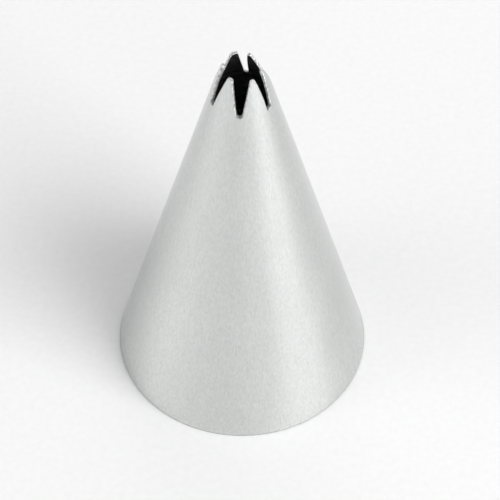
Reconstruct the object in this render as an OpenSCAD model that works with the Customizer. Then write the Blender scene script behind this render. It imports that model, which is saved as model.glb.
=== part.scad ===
// Open star piping nozzle, one thin steel shell.
// Stands on its wide end with the mouth up. Origin: centre of the wide rim. +Z runs along the axis to the mouth.
// One notch is centred on -Y. All sizes are in millimetres and degrees.

/* [Shell] */
// Outer diameter of the wide end
base_d = 35; // [30:0.5:40]
// Overall height, from the wide rim to the tips of the teeth
height = 55.8; // [50:0.1:65]
// Thickness of the sheet
wall_t = 0.4; // [0.3:0.05:0.5]

/* [Star mouth] */
// Number of teeth, and of the notches between them
teeth = 6; // [5:1:7]
// Outer diameter of the cone at the bottom of the notches
neck_d = 8.2; // [8:0.1:11]
// Height of the notches, measured along the axis
notch_depth = 5.1; // [3:0.1:5.2]
// Radius of the round bottom of a notch
notch_root_r = 0.35; // [0.2:0.05:0.4]
// Width of the flat tip of a tooth
tip_flat = 0.7; // [0.4:0.1:0.9]
// How far the teeth turn inward from the cone between their roots and their tips
tooth_bend = 5; // [1:0.5:8]

/* [Hidden] */
$fn = 96;

base_r = base_d / 2;
neck_r = neck_d / 2;
neck_z = height - notch_depth;
taper = atan((base_r - neck_r) / neck_z); // between the cone's wall and its axis
bend_r = notch_depth / (sin(taper + tooth_bend) - sin(taper)); // radius of the arc a tooth bends along
tip_r = tooth_point(taper + tooth_bend)[0]; // outer radius at the tips
notch_half = tip_r * sin(180 / teeth - asin(tip_flat / 2 / tip_r)); // half a notch's width at the tips
bend_steps = 8; // straight pieces that the arc of a tooth is made of
root_steps = 12; // straight pieces that the round bottom of a notch is made of

// A point on the outer face of a tooth, where the wall leans inward by the angle lean
function tooth_point(lean) = [
    neck_r - bend_r * (cos(taper) - cos(lean)),
    neck_z + bend_r * (sin(lean) - sin(taper))
];

// The point a sheet's thickness inward of p, square to a wall that leans by the angle lean
function inward(p, lean) = p - wall_t * [cos(lean), sin(lean)];

// Angle to the vertical of the line from [x, y] that touches the round bottom of a notch
function side_angle(x, y) = acos(notch_root_r / norm([x, y - notch_root_r])) - atan2(y - notch_root_r, x);

// Half of the shell's section, in the plane of radius and height
module wall_section() {
    leans = [for (i = [0 : bend_steps]) taper + tooth_bend * i / bend_steps];
    outer = [for (lean = leans) tooth_point(lean)];
    inner = [for (i = [bend_steps : -1 : 0]) inward(outer[i], leans[i])];
    polygon(concat(
        [[base_r, 0]],
        outer,
        inner,
        [[base_r - wall_t / cos(taper), 0]]
    ));
}

// Outline of one notch seen from outside: a V on a round bottom, open above the tips
module notch_outline() {
    side = side_angle(notch_half, notch_depth);
    over_tips = 1;
    root = [for (i = [0 : root_steps])
        let (a = 180 + side + (180 - 2 * side) * i / root_steps)
        notch_root_r * [cos(a), sin(a) + 1]];
    top = [notch_half + over_tips * tan(side), notch_depth + over_tips];
    polygon(concat(root, [top, [-top[0], top[1]]]));
}

// Cuts one notch through the wall on the -Y side
module notch_cutter() {
    translate([0, 0, neck_z])
        rotate([90, 0, 0])
            linear_extrude(height = neck_d)
                notch_outline();
}

module star_nozzle() {
    color([0.80, 0.81, 0.80])
        difference() {
            rotate_extrude()
                wall_section();
            for (i = [0 : teeth - 1])
                rotate([0, 0, i * 360 / teeth])
                    notch_cutter();
        }
}

star_nozzle();
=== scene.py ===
"""Looks of the open star piping nozzle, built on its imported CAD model. Metres, +Z up the nozzle's axis."""

import math

import bpy
import numpy as np
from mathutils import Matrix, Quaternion, Vector


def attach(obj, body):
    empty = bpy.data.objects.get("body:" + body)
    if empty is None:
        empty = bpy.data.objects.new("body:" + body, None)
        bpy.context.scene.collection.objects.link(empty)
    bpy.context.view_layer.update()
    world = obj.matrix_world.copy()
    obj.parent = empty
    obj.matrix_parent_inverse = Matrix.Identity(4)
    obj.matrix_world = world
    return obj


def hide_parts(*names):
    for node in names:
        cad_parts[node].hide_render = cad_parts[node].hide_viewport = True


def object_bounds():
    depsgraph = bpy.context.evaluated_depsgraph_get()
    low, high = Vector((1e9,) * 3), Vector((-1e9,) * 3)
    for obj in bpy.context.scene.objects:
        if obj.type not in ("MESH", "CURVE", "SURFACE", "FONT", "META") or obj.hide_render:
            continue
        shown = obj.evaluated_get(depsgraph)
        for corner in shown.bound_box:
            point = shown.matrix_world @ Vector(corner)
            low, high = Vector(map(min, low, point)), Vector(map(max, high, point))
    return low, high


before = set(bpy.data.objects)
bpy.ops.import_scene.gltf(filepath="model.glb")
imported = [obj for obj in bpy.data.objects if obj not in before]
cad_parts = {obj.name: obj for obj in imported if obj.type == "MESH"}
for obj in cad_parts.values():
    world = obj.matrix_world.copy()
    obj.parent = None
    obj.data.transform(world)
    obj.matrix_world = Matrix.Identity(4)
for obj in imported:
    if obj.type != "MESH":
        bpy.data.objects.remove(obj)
CAD_LOW, CAD_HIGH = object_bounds()

MM = 0.001

# The shell, as part.scad has it
BASE_R = CAD_HIGH.x
HEIGHT = CAD_HIGH.z
WALL = 0.4 * MM
NECK_R = 4.1 * MM
NOTCH_DEPTH = 5.1 * MM
NECK_Z = HEIGHT - NOTCH_DEPTH
TEETH = 6
ROOT_R = 0.35 * MM
TIP_FLAT = 0.7 * MM
TOOTH_BEND = math.radians(5)
TAPER = math.atan((BASE_R - NECK_R) / NECK_Z)
BEND_R = NOTCH_DEPTH / (math.sin(TAPER + TOOTH_BEND) - math.sin(TAPER))
TIP_R = NECK_R - BEND_R * (math.cos(TAPER) - math.cos(TAPER + TOOTH_BEND))
NOTCH_HALF = TIP_R * math.sin(math.pi / TEETH - math.asin(TIP_FLAT / 2 / TIP_R))

# Each tooth is cut and bent a little differently. For each, anticlockwise from the one just right of -Y:
# how far its clockwise edge and its anticlockwise edge lean anticlockwise at the tip, how far its tip turns
# inward, the power of the height that it turns with, and how much shorter it is than the longest
TEETH_AS_CUT = (
    (0.08 * MM, 0.38 * MM, 0.40 * MM, 2.0, 0.38 * MM),  # front right
    (0.00 * MM, -0.10 * MM, 0.50 * MM, 3.0, 0.45 * MM),  # right
    (0.45 * MM, 0.74 * MM, 0.38 * MM, 1.0, 0.00 * MM),  # rear right
    (0.10 * MM, 0.00 * MM, 0.10 * MM, 2.0, 0.00 * MM),  # rear left
    (0.00 * MM, 0.07 * MM, 0.23 * MM, 3.0, 0.05 * MM),  # left
    (0.07 * MM, 0.00 * MM, 0.30 * MM, 2.0, 0.22 * MM),  # front left
)
# For each notch, from the one on -Y: degrees that it sits off its even place, how much deeper it is,
# and how much wider it is on each side
NOTCHES_AS_CUT = (
    (1.0, 0.05 * MM, 0.14 * MM),
    (1.4, 0.22 * MM, 0.05 * MM),
    (0.0, 0.00 * MM, 0.00 * MM),
    (-2.2, 0.00 * MM, 0.00 * MM),
    (0.0, 0.10 * MM, 0.00 * MM),
    (-1.5, 0.20 * MM, 0.00 * MM),
)
LEAN_POWER = 1.3  # power of the height that the teeth lean sideways with
FACE_RISE = 0.2 * MM  # climb of the cut face from its outer edge to its inner one, at the bottom of a notch

# Mesh of the shell
OUTER_EDGE_R = 0.12 * MM  # rounding of the cut edges on the polished side
INNER_EDGE_R = 0.05 * MM  # and on the inner side
CORNER_R = 0.15 * MM  # rounding of the corners of a tooth's tip
RIM_EDGE_R = 0.15 * MM  # rounding of the wide rim's edges
ROOT_SEGMENTS = 7
SIDE_SEGMENTS = 18
CORNER_SEGMENTS = 5
FLAT_SEGMENTS = 4
EDGE_SEGMENTS = 4
LOWER_ROWS = 40
UPPER_ROWS = 16
FAN_Z = NECK_Z - 1.6 * MM  # above this height the columns spread to follow the notches

OUTER, CUT, INNER = 0, 1, 2  # the shell's materials, in the order of its slots


def notch_side():
    """Angle of a notch's straight side to the vertical: the line from its top that touches the round root."""
    rise = NOTCH_DEPTH - ROOT_R
    return math.acos(ROOT_R / math.hypot(NOTCH_HALF, rise)) - math.atan2(rise, NOTCH_HALF)


def half_outline():
    """Cut edge from the bottom of a notch to the middle of the next tip, seen square to the wall.

    Returns points and normals into the notch, as (across, up) pairs, and how far along the flat tip each is.
    The corner's end is the last point with its own place: the flat's points lie between it and the middle."""
    side = notch_side()
    points, normals = [], []
    for a in np.linspace(0, math.pi / 2 - side, ROOT_SEGMENTS + 1):
        points.append((ROOT_R * math.sin(a), ROOT_R * (1 - math.cos(a))))
        normals.append((-math.sin(a), math.cos(a)))
    start = np.array(points[-1])
    back = CORNER_R * (1 - math.sin(side)) / math.cos(side)
    along = np.array((math.sin(side), math.cos(side)))
    across = np.array((math.cos(side), -math.sin(side)))
    top = np.array((NOTCH_HALF, NOTCH_DEPTH))
    centre = top + CORNER_R * across - back * along
    end = centre - CORNER_R * across
    for t in np.linspace(0, 1, SIDE_SEGMENTS + 1)[1:]:
        points.append(tuple(start + t * (end - start)))
        normals.append((-math.cos(side), math.sin(side)))
    for a in np.linspace(side, math.pi / 2, CORNER_SEGMENTS + 1)[1:]:
        normals.append((-math.cos(a), math.sin(a)))
        points.append(tuple(centre + CORNER_R * np.array(normals[-1])))
    share = [0.0] * len(points)
    for t in np.linspace(0, 1, FLAT_SEGMENTS + 1)[1:]:
        points.append(points[-1])
        normals.append((0.0, 1.0))
        share.append(t)
    return np.array(points), np.array(normals), np.array(share)


def up_tooth(z):
    """How far up a tooth the height z is: 0 at the bottom of an even notch, 1 at the top of the shell."""
    return np.clip((z - NECK_Z) / NOTCH_DEPTH, 0, None)


class Columns:
    """The mesh's columns, once round the shell: which tooth each is on, and its place on the cut edge."""

    def __init__(self):
        points, normals, share = half_outline()
        n = len(points) - 1
        order = list(range(n)) + list(range(n, 0, -1))  # up one side of a tooth and down the other
        index = np.tile(order, TEETH)
        clockwise_half = np.tile([True] * n + [False] * n, TEETH)
        tooth = np.repeat(np.arange(TEETH), len(order))
        notch = tooth + ~clockwise_half
        self.count = len(index)
        self.point, self.normal, self.share = points[index], normals[index], share[index]
        self.sign = np.where(clockwise_half, 1, -1)
        evenly = np.radians(-90 + 360 / TEETH * np.arange(TEETH + 1))
        self.low_angle = evenly[notch] + self.sign * math.pi / TEETH * index / n
        self.middle = ((evenly[:-1] + evenly[1:]) / 2)[tooth]
        notches = np.array(NOTCHES_AS_CUT + NOTCHES_AS_CUT[:1])  # the last tooth ends at the first notch
        self.notch_angle = (evenly + np.radians(notches[:, 0]))[notch]
        self.deeper, self.wider = notches[notch, 1:].T
        as_cut = np.array(TEETH_AS_CUT)[tooth].T
        self.clockwise_lean, self.anticlockwise_lean, self.inward, self.power, self.shorter = as_cut

    def radius(self, z):
        """Outer radius of the wall at height z."""
        return BASE_R - z * math.tan(TAPER) - self.inward * up_tooth(z) ** self.power

    def slant(self, z):
        """Angle below the horizontal that the wall's thickness is measured along at height z."""
        bend = self.inward * self.power * up_tooth(z) ** (self.power - 1) / NOTCH_DEPTH
        return np.arctan(math.tan(TAPER) + bend)

    def on_edge(self, inset, depth):
        """Angles and heights of the cut edge, set back by an inset, at a depth below the outer face."""
        up = self.point[:, 1] / NOTCH_DEPTH
        x = self.point[:, 0] - inset * self.normal[:, 0] + self.wider * np.sqrt(up)
        stretch = (NOTCH_DEPTH + self.deeper - self.shorter) / NOTCH_DEPTH
        z = NECK_Z - self.deeper + stretch * self.point[:, 1] - inset * self.normal[:, 1]
        angle = self.notch_angle + self.sign * np.arcsin(x / self.radius(z))
        angle = angle + (self.middle - angle) * self.share
        return angle, z + FACE_RISE * (1 - up) * depth / WALL

    def place(self, angle, z, depth):
        """World points for a row of angles and of heights on the outer face, at a depth below it."""
        across = np.clip((angle - self.middle) * TEETH / math.tau + 0.5, 0, 1)
        lean = self.clockwise_lean * (1 - across) + self.anticlockwise_lean * across
        a = angle + lean * up_tooth(z) ** LEAN_POWER / TIP_R
        slant = self.slant(z)
        r = self.radius(z) - depth * np.cos(slant)
        return np.stack((r * np.cos(a), r * np.sin(a), z - depth * np.sin(slant)), -1)

    def level_ring(self, r, z):
        """World points of a level circle of radius r."""
        a = self.low_angle
        return np.stack((r * np.cos(a), r * np.sin(a), np.full(self.count, z)), -1)

    def wall_rows(self, depth, rim_z, edge_r):
        """Rows of one face of the wall, from the wide rim up to the cut edge's rounding."""
        top_angle, top_z = self.on_edge(edge_r, depth)
        rows = []
        for z in np.linspace(rim_z, FAN_Z, LOWER_ROWS, endpoint=False):
            rows.append(self.place(self.low_angle, np.full(self.count, z), depth))
        for t in np.linspace(0, 1, UPPER_ROWS, endpoint=False):
            angle = self.low_angle + (top_angle - self.low_angle) * t
            rows.append(self.place(angle, FAN_Z + (top_z - FAN_Z) * t, depth))
        return rows


def rim_section():
    """The wide rim's rounded section from the outer face to the inner one, as (radius, height) pairs."""
    inner_r = BASE_R - WALL / math.cos(TAPER)
    outer_x = BASE_R - RIM_EDGE_R * (1 + math.sin(TAPER)) / math.cos(TAPER)
    inner_x = inner_r + RIM_EDGE_R * (1 - math.sin(TAPER)) / math.cos(TAPER)
    section = []
    for centre, first, last in ((outer_x, TAPER, -math.pi / 2), (inner_x, -math.pi / 2, TAPER - math.pi)):
        for a in np.linspace(first, last, EDGE_SEGMENTS + 1):
            section.append((centre + RIM_EDGE_R * math.cos(a), RIM_EDGE_R * (1 + math.sin(a))))
    return section


def edge_section():
    """Insets and depths round the cut edge's rounded section, from the outer face to the inner one."""
    outer, inner = [], []
    for a in np.linspace(0, math.pi / 2, EDGE_SEGMENTS + 1):
        inset, depth = 1 - math.sin(a), 1 - math.cos(a)
        outer.append((OUTER_EDGE_R * inset, OUTER_EDGE_R * depth))
        inner.append((INNER_EDGE_R * inset, WALL - INNER_EDGE_R * depth))
    return outer + inner[::-1]


def build_shell(name):
    """The whole shell as one closed grid of quads: rings run round it, columns run through its section."""
    columns = Columns()
    section = rim_section()
    rim = [columns.level_ring(r, z) for r, z in section]
    outer = columns.wall_rows(0.0, section[0][1], OUTER_EDGE_R)[1:]
    inner = columns.wall_rows(WALL, section[-1][1] + WALL * math.sin(TAPER), INNER_EDGE_R)[1:]
    edge = [columns.place(*columns.on_edge(inset, depth), depth) for inset, depth in edge_section()]
    rings = outer + edge + inner[::-1] + rim[::-1]
    strips = [OUTER] * len(outer) + [CUT] * (len(edge) - 1) + [INNER] * (len(inner) + 1)
    strips += [CUT] * (len(rim) - 1) + [OUTER]
    count, rows = columns.count, len(rings)
    faces, slots = [], []
    for i in range(rows):
        up = (i + 1) % rows
        for j in range(count):
            right = (j + 1) % count
            faces.append((i * count + j, i * count + right, up * count + right, up * count + j))
            slots.append(strips[i])
    mesh = bpy.data.meshes.new(name)
    mesh.from_pydata(np.concatenate(rings).tolist(), [], faces)
    mesh.polygons.foreach_set("material_index", slots)
    mesh.polygons.foreach_set("use_smooth", [True] * len(faces))
    mesh.update()
    shell = bpy.data.objects.new(name, mesh)
    bpy.context.scene.collection.objects.link(shell)
    return shell


def add(tree, kind, values, **settings):
    """A new node: values are what its inputs are fed with, and settings are its attributes."""
    node = tree.nodes.new("ShaderNode" + kind)
    for name, setting in settings.items():
        setattr(node, name, setting)
    for key, value in values.items():
        feed(tree, node.inputs[key], value)
    return node


def feed(tree, socket, value):
    """Gives an input a plain value, or links it to another node's output."""
    if isinstance(value, bpy.types.NodeSocket):
        tree.links.new(value, socket)
    else:
        socket.default_value = value


def calculate(tree, operation, *values):
    """The output of a maths node."""
    return add(tree, "Math", dict(enumerate(values)), operation=operation).outputs[0]


def vector(tree, operation, *values):
    """The output of a vector maths node."""
    return add(tree, "VectorMath", dict(enumerate(values)), operation=operation).outputs[0]


def object_place(tree):
    """Object coordinates, in metres."""
    return add(tree, "TexCoord", {}).outputs["Object"]


def noise(tree, place, detail, roughness):
    values = {"Vector": place, "Scale": 1.0, "Detail": detail, "Roughness": roughness}
    return add(tree, "TexNoise", values).outputs["Fac"]


def stretched_noise(tree, across, along, detail, roughness):
    """Noise with its own number of cells per metre across the axis and along it."""
    place = vector(tree, "MULTIPLY", object_place(tree), (across, across, along))
    return noise(tree, place, detail, roughness)


def polar_noise(tree, around, along, detail, roughness):
    """Noise that follows the cone: round the axis, every height crosses the same cells, on a circle with a
    radius of around cells. Along the axis it has its own number of cells per metre."""
    flat = vector(tree, "MULTIPLY", object_place(tree), (1, 1, 0))
    circle = vector(tree, "MULTIPLY", vector(tree, "NORMALIZE", flat), (around, around, 0))
    height = vector(tree, "MULTIPLY", object_place(tree), (0, 0, along))
    return noise(tree, vector(tree, "ADD", circle, height), detail, roughness)


NOISE_LOW, NOISE_HIGH = 0.3, 0.7  # nearly all values of a noise lie between these


def between(tree, factor, low, high):
    """Maps a noise to the range from low to high."""
    span = {"From Min": NOISE_LOW, "From Max": NOISE_HIGH, "To Min": low, "To Max": high}
    return add(tree, "MapRange", {"Value": factor, **span}).outputs["Result"]


def two_tones(tree, factor, dark, light):
    """A colour that runs from dark at factor 0 to light at factor 1."""
    values = {"Factor": factor, "A": (*dark, 1), "B": (*light, 1)}
    return add(tree, "Mix", values, data_type="RGBA").outputs["Result"]


# Colours of the three metals, dark and light
POLISHED = ((0.570, 0.583, 0.574), (0.670, 0.683, 0.674))
# the cut metal's dark tone is also where the painted shade at the notch bottoms and the rim's foot ends
FRESH_CUT = ((0.25, 0.25, 0.25), (0.95, 0.96, 0.95))
DRAWN = ((0.40, 0.41, 0.40), (0.52, 0.53, 0.52))
RELIEF = 0.01 * MM  # height of the lines and marks in the metal
# painted shade: the cut metal is painted darker near the bottoms of the notches and near the foot of the wide
# rim, where shade falls
PAINTED_SHADE_REACH = 0.45 * MM  # reach of the darker metal from the bottoms of the notches and from the wide rim


def relief(tree, height, strength):
    values = {"Height": height, "Strength": strength, "Distance": RELIEF}
    return add(tree, "Bump", values).outputs["Normal"]


def new_material(name, metallic):
    """A new material, its node tree and the inputs of its shader."""
    material = bpy.data.materials.new(name)
    material.use_nodes = True
    tree = material.node_tree
    inputs = tree.nodes["Principled BSDF"].inputs
    inputs["Metallic"].default_value = metallic
    return material, tree, inputs


def polished_steel():
    """Outside: polished, with fine mottling and fine lines that run from the rim to the mouth."""
    material, tree, inputs = new_material("steel_outer", metallic=1.0)
    mottle = stretched_noise(tree, across=3600, along=1600, detail=1.0, roughness=0.5)
    lines = polar_noise(tree, around=110, along=320, detail=3.0, roughness=0.6)
    smudges = stretched_noise(tree, across=160, along=90, detail=3.0, roughness=0.5)
    tone = calculate(tree, "ADD", between(tree, mottle, 0.0, 0.7), between(tree, smudges, 0.0, 0.3))
    feed(tree, inputs["Base Color"], two_tones(tree, tone, *POLISHED))
    matt = calculate(tree, "ADD", between(tree, lines, 0.19, 0.27), between(tree, smudges, 0.0, 0.04))
    feed(tree, inputs["Roughness"], matt)
    feed(tree, inputs["Normal"], relief(tree, calculate(tree, "ADD", lines, mottle), strength=0.15))
    return material


def cut_steel():
    """Edges of the teeth and of the wide rim: bright streaks, and painted shade: darker metal towards the
    bottoms of the notches and towards the foot of the wide rim, where it meets the floor.
    """
    material, tree, inputs = new_material("steel_cut", metallic=1.0)
    marks = stretched_noise(tree, across=5200, along=1900, detail=2.0, roughness=0.6)
    height = add(tree, "SeparateXYZ", {"Vector": object_place(tree)}).outputs["Z"]
    off_notch = calculate(tree, "ABSOLUTE", calculate(tree, "SUBTRACT", height, NECK_Z))
    off_both = calculate(tree, "MINIMUM", off_notch, height)
    # painted shade: the cut metal darkens towards the bottoms of the notches and towards the floor at the
    # wide rim
    painted_shade_factor = calculate(tree, "MINIMUM", calculate(tree, "MULTIPLY", off_both, 1 / PAINTED_SHADE_REACH), 1.0)
    tone = calculate(tree, "MULTIPLY", between(tree, marks, 0.0, 1.0), painted_shade_factor)
    feed(tree, inputs["Base Color"], two_tones(tree, tone, *FRESH_CUT))
    feed(tree, inputs["Roughness"], between(tree, marks, 0.62, 0.48))
    feed(tree, inputs["Normal"], relief(tree, marks, strength=0.3))
    return material


def drawn_steel():
    """Inside: duller than the outside, with faint rings left by the drawing tool."""
    material, tree, inputs = new_material("steel_inner", metallic=1.0)
    rings = polar_noise(tree, around=1.2, along=5200, detail=3.0, roughness=0.6)
    stains = stretched_noise(tree, across=300, along=200, detail=3.0, roughness=0.5)
    tone = calculate(tree, "ADD", between(tree, rings, 0.0, 0.4), between(tree, stains, 0.0, 0.6))
    feed(tree, inputs["Base Color"], two_tones(tree, tone, *DRAWN))
    feed(tree, inputs["Roughness"], between(tree, rings, 0.22, 0.38))
    feed(tree, inputs["Normal"], relief(tree, rings, strength=0.25))
    return material


shell = build_shell("nozzle_shell")
for material in (polished_steel(), cut_steel(), drawn_steel()):
    shell.data.materials.append(material)
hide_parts("star_nozzle")
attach(shell, "root")


# Camera: its angles in degrees, its distance from the origin, its lens in millimetres on Blender's usual
# sensor, and the point that it is aimed at, to the right of the nozzle's axis and above the table
CAMERA_AZIMUTH = 6.2
CAMERA_ELEVATION = 53.78
CAMERA_ROLL = 0.303
CAMERA_DISTANCE = 313.9 * MM
CAMERA_LENS = 158.0
CAMERA_CLIP = 10 * MM
AIM_RIGHT = 1.07 * MM
AIM_UP = 19.31 * MM
# Lights: name, azimuth from the camera's side and elevation in degrees, distance and size in metres,
# and power in watts
LIGHTS = (
    ("key", 55, 42, 1.5, 0.95, 16.6),
    ("front", 10, 30, 1.5, 0.6, 1.1),
    ("fill", -75, 36, 1.2, 0.5, 1.3),
)
# Brightness of the room by the sine of the elevation: pale walls and a dark ceiling
ROOM = ((0.0, 0.70), (0.22, 0.76), (0.42, 1.65), (0.62, 0.66), (1.0, 0.05))
# Round the room, three panels are brighter than the gaps between them
PANELS = 3
PANEL_AZIMUTH = 57
PANEL_CONTRAST = 0.45
# Floor: half its width in metres, its two tones and its finish
FLOOR_HALF = 2.0
FLOOR_DARK = (0.82, 0.82, 0.82)
FLOOR_LIGHT = (0.88, 0.88, 0.88)
FLOOR_ROUGHNESS = 0.45
FLOOR_SHEEN = 1.0


def direction(azimuth, elevation):
    """Unit vector towards an azimuth, measured from -Y towards +X, and an elevation, both in degrees."""
    a, e = math.radians(azimuth), math.radians(elevation)
    return Vector((math.sin(a) * math.cos(e), -math.cos(a) * math.cos(e), math.sin(e)))


def make_camera():
    data = bpy.data.cameras.new("camera")
    data.lens = CAMERA_LENS
    data.clip_start = CAMERA_CLIP
    camera = bpy.data.objects.new("camera", data)
    aim = direction(CAMERA_AZIMUTH + 90, 0) * AIM_RIGHT + Vector((0, 0, AIM_UP))
    camera.location = direction(CAMERA_AZIMUTH, CAMERA_ELEVATION) * CAMERA_DISTANCE
    roll = Quaternion((0, 0, 1), math.radians(CAMERA_ROLL))
    camera.rotation_euler = ((aim - camera.location).to_track_quat("-Z", "Y") @ roll).to_euler()
    bpy.context.scene.collection.objects.link(camera)
    bpy.context.scene.camera = camera


def area_light(name, azimuth, elevation, distance, size, power):
    """A square lamp that faces the foot of the nozzle."""
    data = bpy.data.lights.new(name, "AREA")
    data.shape = "SQUARE"
    data.size = size
    data.energy = power
    lamp = bpy.data.objects.new(name, data)
    lamp.location = direction(CAMERA_AZIMUTH + azimuth, elevation) * distance
    lamp.rotation_euler = (-lamp.location).to_track_quat("-Z", "Y").to_euler()
    bpy.context.scene.collection.objects.link(lamp)


def make_room():
    """A plain room all round: its brightness depends on the elevation, and waves gently round the horizon."""
    world = bpy.data.worlds.new("room")
    world.use_nodes = True
    tree = world.node_tree
    view = add(tree, "TexCoord", {})
    parts = add(tree, "SeparateXYZ", {"Vector": view.outputs["Generated"]})
    curve = add(tree, "FloatCurve", {"Value": parts.outputs["Z"]})
    points = curve.mapping.curves[0].points
    brightest = max(level for _, level in ROOM)
    for i, (sine, level) in enumerate(ROOM):
        point = points[i] if i < 2 else points.new(sine, level / brightest)  # a new curve has two points
        point.location = (sine, level / brightest)
        point.handle_type = "VECTOR"
    curve.mapping.update()
    turn = math.radians(PANELS * (90 - CAMERA_AZIMUTH - PANEL_AZIMUTH))
    angle = calculate(tree, "ARCTAN2", parts.outputs["Y"], parts.outputs["X"])
    wave = calculate(tree, "COSINE", calculate(tree, "MULTIPLY_ADD", angle, PANELS, turn))
    panels = calculate(tree, "MULTIPLY_ADD", wave, PANEL_CONTRAST, 1.0)
    background = tree.nodes["Background"].inputs
    feed(tree, background["Color"], calculate(tree, "MULTIPLY", curve.outputs[0], panels))
    background["Strength"].default_value = brightest
    bpy.context.scene.world = world


def make_floor():
    """A wide sheet of white card with a slight sheen."""
    h = FLOOR_HALF
    mesh = bpy.data.meshes.new("floor")
    mesh.from_pydata([(-h, -h, 0), (h, -h, 0), (h, h, 0), (-h, h, 0)], [], [(0, 1, 2, 3)])
    floor = bpy.data.objects.new("floor", mesh)
    material, tree, inputs = new_material("floor", metallic=0.0)
    fibres = stretched_noise(tree, across=1100, along=1100, detail=1.0, roughness=0.5)
    feed(tree, inputs["Base Color"], two_tones(tree, fibres, FLOOR_DARK, FLOOR_LIGHT))
    inputs["Roughness"].default_value = FLOOR_ROUGHNESS
    inputs["Specular IOR Level"].default_value = FLOOR_SHEEN
    mesh.materials.append(material)
    bpy.context.scene.collection.objects.link(floor)


make_camera()
make_floor()
make_room()
for light in LIGHTS:
    area_light(*light)
bpy.context.scene.view_settings.view_transform = "Standard"
